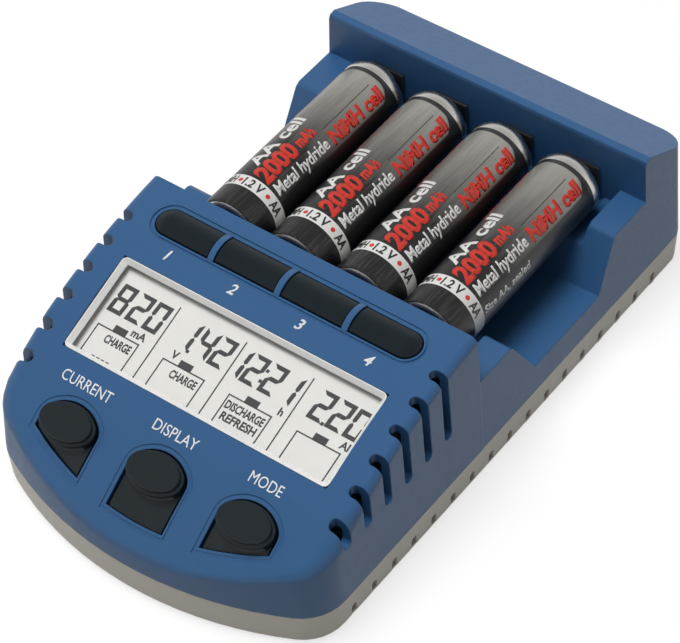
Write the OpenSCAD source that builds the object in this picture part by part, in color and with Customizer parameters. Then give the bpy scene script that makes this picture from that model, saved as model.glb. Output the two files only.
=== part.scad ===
// Desktop charger for four round cells, with a sloping display console.
// The origin is the middle of the footprint, on the surface it stands on:
// X to the right of someone reading the display, Y away from them, Z up.

/* [Housing] */
// Width of the housing at the seam between its two shells
body_w = 77; // [76:0.5:82]
// Wall thickness of both shells
wall = 2; // [1.6:0.1:2.2]
// Height of the base shell, from its underside to the seam
base_h = 7; // [6:0.5:8]
// Draft of the upper shell's walls, in degrees
draft = 2.3; // [1:0.1:3]
// How far the base shell tapers in at its underside
base_taper = 0.5; // [0.2:0.1:1]
// Plan radius of the nose
nose_r = 75; // [70:1:90]
// Plan radius of the two nose corners
nose_corner_r = 9.5; // [8:0.5:12]
// Plan radius of the two rear corners
rear_corner_r = 7.8; // [6:0.2:9]
// Radius along the top edge of the console
edge_r = 3; // [2.6:0.1:3.6]
// Radius along the console's side edges
side_edge_r = 1.6; // [1.2:0.1:2.4]

/* [Console] */
// Length of the console, from the nose to its rear edge
console_l = 59.6; // [58:0.2:64]
// Radius of the console's crowned top, in side view
crown_r = 108; // [100:1:120]
// Height of the crown's highest level above the base's underside
crown_h = 37; // [36:0.5:40]
// How far behind the console's rear edge that level lies
crown_back = 10.3; // [8:0.1:13]
// Tilt of the display
display_tilt = 20.4; // [18:0.2:22]

/* [Display] */
// Distance of the display window in from the sides
window_inset = 8.1; // [7.8:0.1:10]
// Depth of the display window, along the slope
window_d = 20.6; // [18:0.2:21]
// Thickness of the clear lens
lens_t = 1.2; // [1:0.1:1.5]
// Thickness of the liquid crystal panel
panel_t = 2; // [1.6:0.1:2.4]
// How deep the lens lies under the crown
lens_drop = 1.5; // [1.3:0.1:1.8]
// Space for the contact strips between the panel and its board
strip_h = 6.5; // [6:0.1:7]

/* [Round keys] */
// Distance from the display's middle forward to the keys, along the slope
keys_ahead = 22.7; // [22:0.1:23.4]
// Spacing of the three keys
key_pitch = 20.6; // [18:0.2:22]
// Width of a key's oval cap
cap_w = 11.2; // [10:0.1:11.4]
// Depth of the cap, along the slope
cap_d = 7.3; // [6.6:0.1:7.6]
// Height of the cap above the crown
cap_proud = 2.2; // [1.6:0.1:2.4]
// Width of a key's recess
recess_w = 13; // [12.6:0.1:14]
// How far a key's plate lies under the crown
plate_drop = 0.6; // [0.6:0.1:1.2]
// Travel of a round key
key_travel = 0.5; // [0.3:0.05:0.6]
// Distance from the nose's edge back to the recesses
recess_front = 4.3; // [3.2:0.1:4.6]

/* [Slot keys] */
// Distance from the display's middle back to the key slot, along the crown
slot_behind = 20.5; // [18:0.1:20.6]
// Distance of the key slot in from the sides
slot_inset = 8.3; // [7.6:0.1:9]
// Width of the slot
slot_w = 6.4; // [5.6:0.1:6.6]
// Width of the ribs between the slot keys
rib_w = 1.3; // [1:0.1:2]
// Height of a slot key above the crown
bar_proud = 1.3; // [1:0.1:2]
// Travel of a slot key
bar_travel = 0.5; // [0.3:0.05:0.6]

/* [Cells] */
// Diameter of a cell
cell_d = 14; // [13.5:0.1:14.4]
// Length of a cell over its button
cell_l = 50; // [49:0.1:50.5]
// Spacing of the cells and of the slot keys
cell_pitch = 15.4; // [15:0.1:15.6]
// Height of the cells' axes above the base's underside
cell_h = 26; // [25.5:0.1:27]

/* [Cell bay] */
// Gap from the console to the cells' flat ends
bay_front_gap = 3.7; // [3.5:0.1:5]
// Gap from the cells' buttons to the rear bar
bay_rear_gap = 1.9; // [1.7:0.1:3]
// Gap between the outer cells and the cheeks
bay_side_gap = 1.7; // [1:0.1:2]
// Height of the shoulders and ledges above the base's underside
shoulder_h = 25; // [24:0.2:27]
// Length of the shoulders behind the console
shoulder_l = 10.2; // [9.8:0.1:12]
// Length of the ledges in front of the rear bar
ledge_l = 10.9; // [9:0.1:13]
// Height of the scoop under the cells above the base's underside
scoop_h = 13.6; // [13:0.1:14.2]
// Length of the scoop's front slope
scoop_front_l = 7.1; // [5:0.1:9]
// Length of the scoop's rear slope
scoop_rear_l = 5.7; // [4:0.1:8]
// Height of the cradles between the cells above the base's underside
cradle_h = 21; // [20.4:0.1:22]
// Radius along the edges of the cheeks
cheek_r = 1.2; // [0.6:0.1:1.6]

/* [Rear bar] */
// Depth of the rear bar
bar_d = 17; // [16:0.1:20]
// Height of the bar's front edge above the base's underside
bar_front_h = 36.2; // [35:0.2:38]
// Height of the bar's rear edge above the base's underside
bar_rear_h = 27.6; // [26:0.2:30]

/* [Vents] */
// Number of vents on each side of the console
vent_count = 6; // [4:1:6]
// Spacing of the console vents
vent_pitch = 6.14; // [5:0.05:6.2]
// Width of a console vent
vent_w = 2.2; // [1.6:0.1:2.6]
// Distance from the console's rear edge to the last vent
vent_back = 10.4; // [9:0.1:12]
// How far a vent reaches onto the console's top, from the seam's width
vent_reach = 4.3; // [3.6:0.1:4.6]
// Height of a vent's lower end above the base's underside
vent_foot_h = 19.3; // [18.5:0.1:21]
// Number of notches along each side of the base
notch_count = 17; // [10:1:17]
// Spacing of the notches
notch_pitch = 6.2; // [5:0.05:6.3]
// Width of a notch
notch_w = 1.4; // [1:0.1:1.8]
// Distance from the rear to the last notch
notch_rear = 13.8; // [12:0.2:15]
// Height of a notch above the base's underside
notch_h = 2.9; // [2.4:0.1:3.4]
// Depth of a notch
notch_d = 0.9; // [0.6:0.1:1.2]

/* [Contacts] */
// Thickness of the contacts' sheet metal
contact_t = 0.6; // [0.4:0.05:0.7]
// Width of a sliding contact
contact_w = 9; // [7:0.2:10]
// Travel of a sliding contact, with the cell in place
contact_travel = 2; // [1:0.1:2.2]
// Outer diameter of a contact's spring
spring_d = 3.6; // [3:0.1:4]
// Diameter of the spring's wire
spring_wire = 0.45; // [0.35:0.05:0.5]

/* [Fixings] */
// Diameter of a housing screw's thread
screw_d = 2.5; // [2:0.1:3]
// Diameter of a housing screw's head
screw_head_d = 4.6; // [4:0.1:5]
// Distance of the housing screws in from the sides
screw_inset = 7.5; // [7:0.1:8]
// Distance of the front housing screws back from the nose
screw_front = 38; // [34:0.5:44]
// Distance of the rear housing screws in from the rear
screw_rear = 10.5; // [10:0.5:12]
// Diameter of a rubber foot
foot_d = 8; // [7:0.5:9]
// Distance of the feet in from the sides
foot_inset = 15.5; // [15:0.5:18]
// How far the feet stand proud of the base
foot_proud = 0.8; // [0.6:0.1:1.2]
// Diameter of the power socket's bore
socket_d = 5.8; // [5.5:0.1:6.4]
// Thickness of the circuit boards
board_t = 1.6; // [1.2:0.1:1.8]

/* [Hidden] */
// Clearance round a piece that slides
slide_gap = 0.2;
// Clearance round a round key's plate
plate_gap = 0.5;
// Clearance between fixed pieces
fit_gap = 0.15;
// Clearance left at the end of a travel
stop_gap = 0.1;
// Length by which a cut runs past the face it opens
past = 1;

half_w = body_w / 2;
bay_l = bay_front_gap + cell_l + bay_rear_gap;
body_l = console_l + bay_l + bar_d;
nose_y = -body_l / 2;
rear_y = body_l / 2;
console_y = nose_y + console_l;
bar_y = console_y + bay_l;

base_z = foot_proud;
seam_z = base_z + base_h;
shoulder_z = base_z + shoulder_h;
scoop_z = base_z + scoop_h;
cradle_z = base_z + cradle_h;
cell_z = base_z + cell_h;
slope_run = tan(draft);
inner_edge_r = 0.4;

crown_y = console_y + crown_back;
crown_z = base_z + crown_h - crown_r;
slot_tilt = display_tilt - slot_behind / crown_r * 180 / PI;

// Plan of the nose: one large arc that runs into two corner arcs
nose_cy = nose_y + nose_r;
corner_x = half_w - nose_corner_r;
corner_y = nose_cy - sqrt(pow(nose_r - nose_corner_r, 2) - pow(corner_x, 2));
corner_a = atan2(corner_y - nose_cy, corner_x);

cell_x = [for (i = [-1.5 : 1 : 1.5]) i * cell_pitch];
cell_y = console_y + bay_front_gap;
cell_r = cell_d / 2;
button_h = 1.3;
bay_half_w = cell_x[3] + cell_r + bay_side_gap;
trough_r = cell_r + 0.3;

// The display stack, measured down the display's normal from the crown
window_w = body_w - 2 * window_inset;
slot_l = body_w - 2 * slot_inset;
lens_w = window_w + 3;
lens_d = window_d + 3;
panel_w = lens_w - 1;
panel_d = lens_d - 1;
panel_drop = lens_drop + lens_t + 0.4;
board_drop = panel_drop + panel_t + strip_h;
board_u = window_w / 2 + 0.6;
board_front = keys_ahead + 4.3;
board_rear = slot_behind + 1.1;
post_r = 1.6;
front_posts = keys_ahead - 2.1;
rear_posts = lens_d / 2 + 1.9;
rear_posts_x = window_w / 2 - 6.4;
display_screw_places = [
    [-key_pitch / 2, -front_posts], [key_pitch / 2, -front_posts],
    [-rear_posts_x, rear_posts], [rear_posts_x, rear_posts]];

// The keys. The round ones move along the display's normal, the others along their own
key_margin = (recess_w - cap_w) / 2;
key_tilt = display_tilt + asin((keys_ahead + 3) / crown_r);
key_w = crown_drop(keys_ahead);
flange_t = 0.9;
flange_gap = 0.5;
bar_flange_gap = 0.25;
bar_flange = 0.8;
stem_r = 1.6;
step_edge = 0.5;
step_proud = cap_proud - 1.1;
bar_edge = 0.2;
bar_half = slot_w / 2 - slide_gap;
bar_depth = (pow(bar_half, 2) + pow(bar_edge, 2) - pow(bar_proud, 2)) / 2 / (bar_proud - bar_edge);
bar_r = bar_depth + bar_proud;
rib_proud = 0.15;
switch_s = 6;
switch_h = 3.4;
plunger_d = 3;
plunger_h = 0.8;
groove_in = 0.45;
groove_out = 0.95;
groove_d = 0.35;

// The boards and what fixes them
main_z = base_z + wall + 3;
main_top = main_z + board_t;
main_front = console_y - 9;
main_rear = rear_y - 6;
boss_r = 3;
boss_h = 6;
screw_hole_r = screw_d / 2;
screw_x = half_w - screw_inset;
screw_ys = [nose_y + screw_front, rear_y - screw_rear];
main_w = 2 * (screw_x - boss_r - 1);
board_screw_x = main_w / 2 - 3;
board_screw_xs = [-board_screw_x, board_screw_x];
board_screw_ys = [main_front + 5, main_rear - 18];
board_post_r = 2.6;
board_head_r = 2;
board_head_h = 1.2;
board_screw_r = 0.95;
board_screw_l = 4;
display_head_r = 1.5;
display_head_h = 1;
display_screw_r = 0.65;
display_screw_l = 4.5;
head_h = 1.8;
head_drop = 0.6;
screw_l = 9;
lip_h = 1.2;
lip_t = 1.05;
foot_x = half_w - foot_inset;
foot_ys = [nose_y + 19, rear_y - 10];
foot_t = 1.6;

// A sliding contact: blade in the bay, neck through the floor, foot below it
blade_y = cell_y - stop_gap;
blade_rise = 4.5;
blade_top = cell_z + blade_rise;
blade_corner = 1.7;
blade_taper = 2.5;
floor_low = cell_z - trough_r - 2.5;
neck_w = 3;
foot_top = floor_low - stop_gap;
foot_w = 6.4;
foot_l = 5.2;
tab_w = 4.8;
tab_h = 4.6;
tab_y = blade_y + foot_l;
spring_z = foot_top - contact_t - spring_d / 2 - stop_gap;
plate_y = bar_y - contact_t - stop_gap;
plate_w = 8;
plate_low = 5;
plate_high = 2.6;
leg_w = 3.8;

socket_body = [9, 11, 11];
socket_y = rear_y - wall - 1.4;
socket_z = main_top + 6.5;
collar_r = 4.3;
capacitor_r = 4;
capacitor_h = 11;
capacitor_x = main_w / 2 - 7;
transistor = [6.6, 6, 2.3];
transistor_y = console_y + 24;
cable_bend = 12;
cable_w = 18;
cable_t = 0.6;

// Points on an arc, without its first one, so that arcs join up
function arc(x, y, r, from, to, n) =
    [for (i = [1 : n]) let (a = from + (to - from) * i / n) [x + r * cos(a), y + r * sin(a)]];

// The nose's outline, moved in by a distance, from its left side to its right
function nose_outline(inset, n) = concat(
    arc(-corner_x, corner_y, nose_corner_r - inset, 180, 180 - corner_a, n),
    arc(0, nose_cy, nose_r - inset, -180 - corner_a, corner_a, 3 * n),
    arc(corner_x, corner_y, nose_corner_r - inset, corner_a, 0, n));

// The whole outline, moved in by a distance
function outline(inset) = concat(
    nose_outline(inset, 6),
    arc(half_w - rear_corner_r, rear_y - rear_corner_r, rear_corner_r - inset, 0, 90, 7),
    arc(rear_corner_r - half_w, rear_y - rear_corner_r, rear_corner_r - inset, 90, 180, 7));

// Height of the crown's centre line at a depth under its surface
function crown_at(y, depth) = crown_z + sqrt(pow(crown_r - depth, 2) - pow(y - crown_y, 2));

// Level of the crown in the display's frame, at a distance along the slope from its middle
function crown_drop(v) = sqrt(pow(crown_r, 2) - pow(v, 2)) - crown_r;

// A solid between two like outlines at two levels
module loft(low, low_z, high, high_z) {
    n = len(low);
    polyhedron(
        points = concat([for (p = low) [p[0], p[1], low_z]], [for (p = high) [p[0], p[1], high_z]]),
        faces = concat(
            [[for (i = [0 : n - 1]) i]],
            [[for (i = [n - 1 : -1 : 0]) n + i]],
            [for (i = [0 : n - 1]) [i, n + i, n + (i + 1) % n, (i + 1) % n]]));
}

// Puts its children on the crown, at a tilt, with Z along the crown's normal
module on_crown(tilt) {
    translate([0, crown_y, crown_z]) rotate([tilt, 0, 0]) translate([0, 0, crown_r]) children();
}

// A side profile of [y, z] points, drawn out along X over a width
module across(w) {
    rotate([90, 0, 90]) linear_extrude(w, center = true) children();
}

// Puts its children on the display board's face
module on_board() {
    on_crown(display_tilt) translate([0, 0, -board_drop]) children();
}

// Everything in front of a level of Y
module ahead_of(y) {
    translate([-body_w, y - body_l, -past]) cube([2 * body_w, body_l, 2 * crown_h]);
}

// The console as one rounded form, moved in by a distance. Its edge gets narrower behind the nose
module console_form(inset) {
    stations = 12;
    narrowing = 3;
    hull() {
        for (p = nose_outline(edge_r, 5))
            let (z = crown_at(p[1], edge_r), lean = slope_run * (z - seam_z))
            translate([p[0] * (1 - lean / half_w), p[1] + lean, z]) sphere(edge_r - inset, $fn = 20);
        for (i = [1 : stations], side = [-1, 1])
            let (
                y = corner_y + (console_y + 1 - corner_y) * i / stations,
                outer = edge_r + (side_edge_r - edge_r) * min(i / narrowing, 1),
                r = max(outer - inset, inner_edge_r),
                z = crown_at(y, inset + r))
            translate([side * (half_w - inset - r - slope_run * (z - seam_z)), y, z]) sphere(r, $fn = 20);
        translate([0, 0, seam_z - (inset > 0 ? past : 0)])
            linear_extrude(0.01)
            polygon(concat(
                nose_outline(inset, 6),
                [[half_w - inset, console_y + 1], [inset - half_w, console_y + 1]]));
    }
}

// Side profile of the cheeks and the rear bar
module cheek_profile() {
    offset(r = cheek_r) offset(delta = -cheek_r) polygon([
        [nose_y + console_l / 2, seam_z - 2 * cheek_r],
        [nose_y + console_l / 2, shoulder_z - 6],
        [console_y - 4, shoulder_z],
        [console_y + shoulder_l, shoulder_z],
        [console_y + shoulder_l + scoop_front_l, scoop_z],
        [bar_y - ledge_l - scoop_rear_l, scoop_z],
        [bar_y - ledge_l, shoulder_z],
        [bar_y, shoulder_z],
        [bar_y, base_z + bar_front_h],
        [rear_y + 2, base_z + bar_rear_h - 2 * (bar_front_h - bar_rear_h) / bar_d],
        [rear_y + 2, seam_z - 2 * cheek_r]]);
}

// Side profile of the hollow under the bay and in the rear bar
module hollow_profile() {
    polygon([
        [console_y - wall, seam_z - past],
        [console_y - wall, floor_low],
        [console_y + shoulder_l + 1.5 * wall, floor_low],
        [console_y + shoulder_l + 2.9 * wall, scoop_z - wall],
        [bar_y - ledge_l - 2.2 * wall, scoop_z - wall],
        [bar_y - ledge_l - wall, floor_low],
        [bar_y + wall, floor_low],
        [bar_y + wall, base_z + bar_front_h - 1.6 * wall],
        [rear_y - wall, base_z + bar_rear_h - wall],
        [rear_y - wall, seam_z - past]]);
}

// An oval of four arcs, from its half width and half depth
module oval_shape(a, b) {
    end_r = 0.73 * b;
    end_x = a - end_r;
    side_r = (pow(end_x, 2) + pow(b, 2) - pow(end_r, 2)) / 2 / (b - end_r);
    meet = atan2(side_r - b, end_x);
    polygon(concat(
        arc(end_x, 0, end_r, -meet, meet, 16),
        arc(0, b - side_r, side_r, meet, 180 - meet, 12),
        arc(-end_x, 0, end_r, 180 - meet, 180 + meet, 16),
        arc(0, side_r - b, side_r, 180 + meet, 360 - meet, 12)));
}

// Outline of a key's recess: half an oval behind, cut by the nose's curve in front
module recess_shape(grow) {
    a = recess_w / 2 + grow;
    oval_shape(a, cap_d / 2 + key_margin + grow);
    translate([-a, -2 * recess_w]) square([2 * a, 2 * recess_w]);
}

// The nose's curve as a prism, which bounds the recesses in front
module nose_limit(inset) {
    translate([0, nose_cy, 0]) cylinder(h = 2 * crown_h, r = nose_r - inset, $fn = 200);
}

// Prism of a recess at one of the three key positions, along the display's normal
module recess_prism(side, grow) {
    intersection() {
        on_crown(display_tilt) translate([side * key_pitch, -keys_ahead, -board_drop])
            linear_extrude(2 * board_drop) recess_shape(grow);
        nose_limit(recess_front - grow);
    }
}

// A slot with round ends along X
module slot_shape(l, w) {
    translate([w / 2 - l / 2, 0]) circle(w / 2, $fn = 48);
    translate([l / 2 - w / 2, 0]) circle(w / 2, $fn = 48);
    square([l - w, w], center = true);
}

// The crown as a solid cylinder, raised by a height
module crown_solid(raise) {
    translate([0, crown_y, crown_z]) rotate([0, 90, 0])
        cylinder(h = 2 * body_w, r = crown_r + raise, center = true, $fn = 200);
}

// The plan area of one slot key, in the frame of the slot
module slot_cell(i, gap) {
    left = i == 0 ? -slot_l / 2 : cell_x[i] - cell_pitch / 2 + rib_w / 2;
    right = i == 3 ? slot_l / 2 : cell_x[i] + cell_pitch / 2 - rib_w / 2;
    intersection() {
        slot_shape(slot_l - 2 * gap, slot_w - 2 * gap);
        translate([left + gap, -slot_w]) square([right - left - 2 * gap, 2 * slot_w]);
    }
}

// One vent: round inner end on the top, round lower end on the wall
module vent(y, side) {
    r = vent_w / 2;
    x = half_w - vent_reach + r;
    foot = base_z + vent_foot_h + r;
    mirror([side < 0 ? 1 : 0, 0, 0]) translate([0, y, 0]) {
        translate([x, 0, foot]) cylinder(h = crown_h, r = r, $fn = 32);
        translate([x, -r, foot]) cube([vent_reach + past, vent_w, crown_h]);
        translate([x, 0, foot]) rotate([0, 90, 0]) cylinder(h = vent_reach + past, r = r, $fn = 32);
    }
}

module screw_places() {
    for (side = [0, 1], y = screw_ys) mirror([side, 0, 0]) translate([screw_x, y, 0]) children();
}

module upper_shell() color("steelblue") difference() {
    union() {
        difference() {
            union() {
                difference() {
                    console_form(0);
                    mirror([0, 1, 0]) ahead_of(-console_y);
                }
                intersection() {
                    loft(outline(0), seam_z, outline(slope_run * crown_h), seam_z + crown_h);
                    across(2 * body_w) cheek_profile();
                    mirror([0, 1, 0]) ahead_of(-console_y + 2);
                }
            }
            // Hollows under the console, the bay and the bar
            difference() {
                console_form(wall);
                mirror([0, 1, 0]) ahead_of(wall - console_y);
            }
            intersection() {
                loft(outline(wall), seam_z - past, outline(wall + slope_run * crown_h), seam_z + crown_h);
                across(2 * body_w) hollow_profile();
            }
            // The bay over the cradles, and a trough for each cell
            translate([-bay_half_w, console_y, cradle_z])
                cube([2 * bay_half_w, bay_l, crown_h]);
            for (x = cell_x) translate([x, console_y, cell_z]) rotate([-90, 0, 0])
                cylinder(h = bay_l, r = trough_r, $fn = 64);
        }
        // Arched ribs between the slot keys
        for (i = [1 : 3]) on_crown(slot_tilt) intersection() {
            translate([(cell_x[i - 1] + cell_x[i]) / 2, 0, -bar_depth]) rotate([0, 90, 0])
                cylinder(h = rib_w, r = bar_r + rib_proud, center = true, $fn = 96);
            translate([0, 0, wall / 2]) cube([slot_l, slot_w + groove_in, 3 * wall], center = true);
        }
        // Posts that carry the display board
        intersection() {
            on_board() for (p = display_screw_places)
                translate([p[0], p[1], 0]) cylinder(h = board_drop, r = post_r, $fn = 32);
            crown_solid(-wall / 2);
        }
        // Bosses for the housing screws, each with a web to the side wall
        intersection() {
            screw_places() union() {
                translate([0, 0, seam_z]) cylinder(h = boss_h, r = boss_r, $fn = 32);
                translate([0, -0.8, seam_z + lip_h + fit_gap])
                    cube([screw_inset, 1.6, boss_h - lip_h - fit_gap]);
            }
            loft(outline(wall / 2), seam_z, outline(wall / 2 + slope_run * crown_h), seam_z + crown_h);
        }
        // Rib under the console's rear wall, against which the springs push
        translate([-bay_half_w, console_y - wall, spring_z - spring_d / 2 - 1])
            cube([2 * bay_half_w, wall, shoulder_z - spring_z]);
    }
    // Display window, with a pocket for the lens behind it
    on_crown(display_tilt) {
        translate([0, 0, -lens_drop / 2]) cube([window_w, window_d, 2 * lens_drop + 2], center = true);
        translate([0, 0, -lens_drop - 3])
            cube([lens_w + 2 * fit_gap, lens_d + 2 * fit_gap, 6], center = true);
    }
    for (side = [-1 : 1]) recess_prism(side, 0);
    on_crown(slot_tilt) for (i = [0 : 3])
        translate([0, 0, -2 * wall]) linear_extrude(4 * wall) slot_cell(i, 0);
    // Shallow grooves round the recesses and the key slot, which leave a narrow lip
    for (side = [-1 : 1]) difference() {
        recess_prism(side, groove_out);
        recess_prism(side, groove_in);
        crown_solid(-groove_d);
    }
    on_crown(slot_tilt) translate([0, 0, -groove_d]) linear_extrude(2 * wall) difference() {
        slot_shape(slot_l + 2 * groove_out, slot_w + 2 * groove_out);
        slot_shape(slot_l + 2 * groove_in, slot_w + 2 * groove_in);
    }
    for (i = [0 : vent_count - 1], side = [-1, 1]) vent(console_y - vent_back - i * vent_pitch, side);
    screw_places() translate([0, 0, seam_z - past])
        cylinder(h = boss_h - 0.8 + past, r = screw_hole_r, $fn = 24);
    on_board() for (p = display_screw_places)
        translate([p[0], p[1], -past])
            cylinder(h = past + display_screw_l + 0.7, r = display_screw_r + 0.05, $fn = 24);
    for (x = cell_x) {
        // Slot for the sliding contact's neck, and for the button contact's leg
        translate([x - neck_w / 2 - slide_gap, console_y + 0.4, floor_low - past])
            cube([neck_w + 2 * slide_gap, shoulder_l - 1, 6]);
        translate([x - leg_w / 2 - 0.3, plate_y - 0.5, floor_low - past])
            cube([leg_w + 0.6, contact_t + wall + past, 9]);
    }
    translate([0, rear_y - wall - 2, socket_z]) rotate([-90, 0, 0])
        cylinder(h = wall + 4, r = collar_r + 0.3, $fn = 48);
}

module base_shell() color("tan") difference() {
    union() {
        difference() {
            loft(outline(base_taper), base_z, outline(0), seam_z);
            loft(outline(wall + base_taper), base_z + wall, outline(wall), seam_z + past);
        }
        // Lip that stands inside the upper shell
        difference() {
            loft(outline(wall + fit_gap), seam_z - 2, outline(wall + fit_gap), seam_z + lip_h);
            loft(outline(wall + fit_gap + lip_t), seam_z - 3, outline(wall + fit_gap + lip_t), seam_z + 2);
        }
        screw_places() translate([0, 0, base_z]) cylinder(h = base_h - 0.05, r = boss_r, $fn = 32);
        for (x = board_screw_xs, y = board_screw_ys)
            translate([x, y, base_z]) cylinder(h = main_z - base_z, r = board_post_r, $fn = 32);
    }
    screw_places() translate([0, 0, base_z - past]) {
        cylinder(h = base_h + 2 * past, r = screw_hole_r + fit_gap, $fn = 24);
        cylinder(h = past + head_h + head_drop, r = screw_head_d / 2 + 0.2, $fn = 32);
    }
    for (x = board_screw_xs, y = board_screw_ys)
        translate([x, y, base_z + 1.4]) cylinder(h = main_z, r = 1, $fn = 24);
    // Round-topped notches in the sides, open below
    for (i = [0 : notch_count - 1], side = [-1, 1])
        translate([side * half_w, rear_y - notch_rear - i * notch_pitch, base_z]) {
            cube([2 * (base_taper + notch_d), notch_w, 2 * notch_h - notch_w], center = true);
            translate([0, 0, notch_h - notch_w / 2]) rotate([0, 90, 0])
                cylinder(h = 2 * (base_taper + notch_d), r = notch_w / 2, center = true, $fn = 20);
        }
    for (x = [-foot_x, foot_x], y = foot_ys)
        translate([x, y, base_z - past])
            cylinder(h = past + foot_t - foot_proud, r = foot_d / 2 + stop_gap, $fn = 48);
}

module display_lens() color("aliceblue") on_crown(display_tilt)
    translate([0, 0, -lens_drop - lens_t / 2]) cube([lens_w, lens_d, lens_t], center = true);

module lcd_panel() color("lightgray") on_crown(display_tilt)
    translate([0, 0, -panel_drop - panel_t / 2]) cube([panel_w, panel_d, panel_t], center = true);

// Open frame that carries the panel and stands on the display board
module lcd_frame() color("white") on_board() difference() {
    h = board_drop - lens_drop - lens_t - stop_gap;
    translate([0, 0, h / 2]) cube([lens_w, lens_d, h], center = true);
    translate([0, 0, strip_h + 5]) cube([panel_w + 0.2, panel_d + 0.2, 10], center = true);
    cube([panel_w - 3, panel_d - 3, 4 * board_drop], center = true);
}

module contact_strips() color("dimgray") on_board()
    for (side = [-1, 1]) translate([0, side * (panel_d / 2 - 3), strip_h / 2])
        cube([panel_w - 8, 2, strip_h], center = true);

module display_board() color("darkgreen") on_board() difference() {
    translate([-board_u, -board_front, -board_t]) cube([2 * board_u, board_front + board_rear, board_t]);
    for (p = display_screw_places)
        translate([p[0], p[1], -board_t - past]) cylinder(h = board_t + 2 * past, r = 0.9, $fn = 24);
}

// Depth of the display board under the crown, where a key's frame meets it
function board_level(tilt) = crown_r - (crown_r - board_drop) / cos(tilt - display_tilt);

// Level of a stem's lower end, so that its lower edge is just clear of its switch when the key is down
function stem_low(tilt, travel) =
    switch_h + plunger_h + travel + stop_gap + stem_r * tan(display_tilt - tilt) - board_level(tilt);

// A flat slab under the round keys' plates, between two depths
module key_slab(top, low) {
    on_crown(key_tilt) translate([-body_w, -2 * recess_w, -low])
        cube([2 * body_w, 4 * recess_w, low - top]);
}

// A round key: stepped oval cap, plate in its recess, flange under the shell, and stem
module round_key(side) color([0.17, 0.18, 0.19]) {
    flange_top = wall + flange_gap;
    stem = stem_low(display_tilt, key_travel);
    intersection() {
        recess_prism(side, -plate_gap);
        key_slab(plate_drop, flange_top + flange_t / 2);
    }
    intersection() {
        on_crown(display_tilt) translate([side * key_pitch, -keys_ahead - recess_w, 0])
            cube([recess_w + 2, 2 * (recess_w + cap_d / 2 + key_margin + 1), 2 * board_drop], center = true);
        key_slab(flange_top, flange_top + flange_t);
        nose_limit(recess_front + slide_gap);
    }
    on_crown(display_tilt) translate([side * key_pitch, -keys_ahead, 0]) {
        translate([0, 0, key_w - plate_drop - 1])
            linear_extrude(plate_drop + 1 + step_proud) oval_shape(cap_w / 2 + step_edge, cap_d / 2 + step_edge);
        translate([0, 0, key_w]) linear_extrude(cap_proud) oval_shape(cap_w / 2, cap_d / 2);
        translate([0, 0, stem]) cylinder(h = key_w - wall - stem, r = stem_r, $fn = 32);
    }
}

// A slot key: a rounded bar with a flange under the shell, and a stem
module slot_key(i) color([0.17, 0.18, 0.19]) on_crown(slot_tilt) {
    flange_low = -wall - bar_flange_gap - flange_t;
    intersection() {
        union() {
            translate([0, 0, -bar_depth]) rotate([0, 90, 0])
                cylinder(h = slot_l - slot_w, r = bar_r, center = true, $fn = 96);
            for (side = [-1, 1]) translate([side * (slot_l - slot_w) / 2, 0, -bar_depth])
                sphere(bar_r, $fn = 96);
        }
        translate([0, 0, flange_low]) linear_extrude(3 * wall) slot_cell(i, slide_gap);
    }
    translate([cell_x[i], 0, flange_low + flange_t / 2])
        cube([cell_pitch - 1.4, slot_w + 2 * bar_flange, flange_t], center = true);
    translate([cell_x[i], 0, stem_low(slot_tilt, bar_travel)])
        cylinder(h = -wall - stem_low(slot_tilt, bar_travel), r = stem_r, $fn = 32);
}

// A push switch standing on the display board, at a distance along the slope
module push_switch(x, v) {
    on_board() translate([x, v, 0]) {
        translate([0, 0, switch_h / 2]) cube([switch_s, switch_s, switch_h], center = true);
        translate([0, 0, switch_h / 2]) cylinder(h = switch_h / 2 + plunger_h, r = plunger_d / 2, $fn = 32);
    }
}

module round_key_switches() color("silver")
    for (side = [-1 : 1]) push_switch(side * key_pitch, -keys_ahead);

module slot_key_switches() color("silver")
    for (x = cell_x) push_switch(x, (crown_r - board_drop) * tan(display_tilt - slot_tilt));

module sliding_contact(i) color("gainsboro") translate([cell_x[i], 0, 0]) {
    neck_low = foot_top - contact_t;
    blade_low = cell_z - trough_r + 1;
    difference() {
        translate([-contact_w / 2, blade_y - contact_t, blade_low])
            cube([contact_w, contact_t, blade_top - blade_low]);
        // Corners cut off at 45 degrees
        for (side = [-1, 1]) translate([side * contact_w / 2, blade_y, blade_top]) rotate([0, 45, 0])
            cube([blade_corner * sqrt(2), 4 * contact_t, blade_corner * sqrt(2)], center = true);
        for (side = [-1, 1]) translate([side * contact_w / 2, blade_y, blade_low]) rotate([0, 45, 0])
            cube([blade_taper * sqrt(2), 4 * contact_t, blade_taper * sqrt(2)], center = true);
    }
    translate([-neck_w / 2, blade_y - contact_t, neck_low])
        cube([neck_w, contact_t, blade_low - neck_low + 1]);
    translate([-foot_w / 2, blade_y - contact_t, neck_low])
        cube([foot_w, foot_l + 2 * contact_t, contact_t]);
    translate([-tab_w / 2, tab_y, foot_top - tab_h]) cube([tab_w, contact_t, tab_h]);
}

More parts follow.
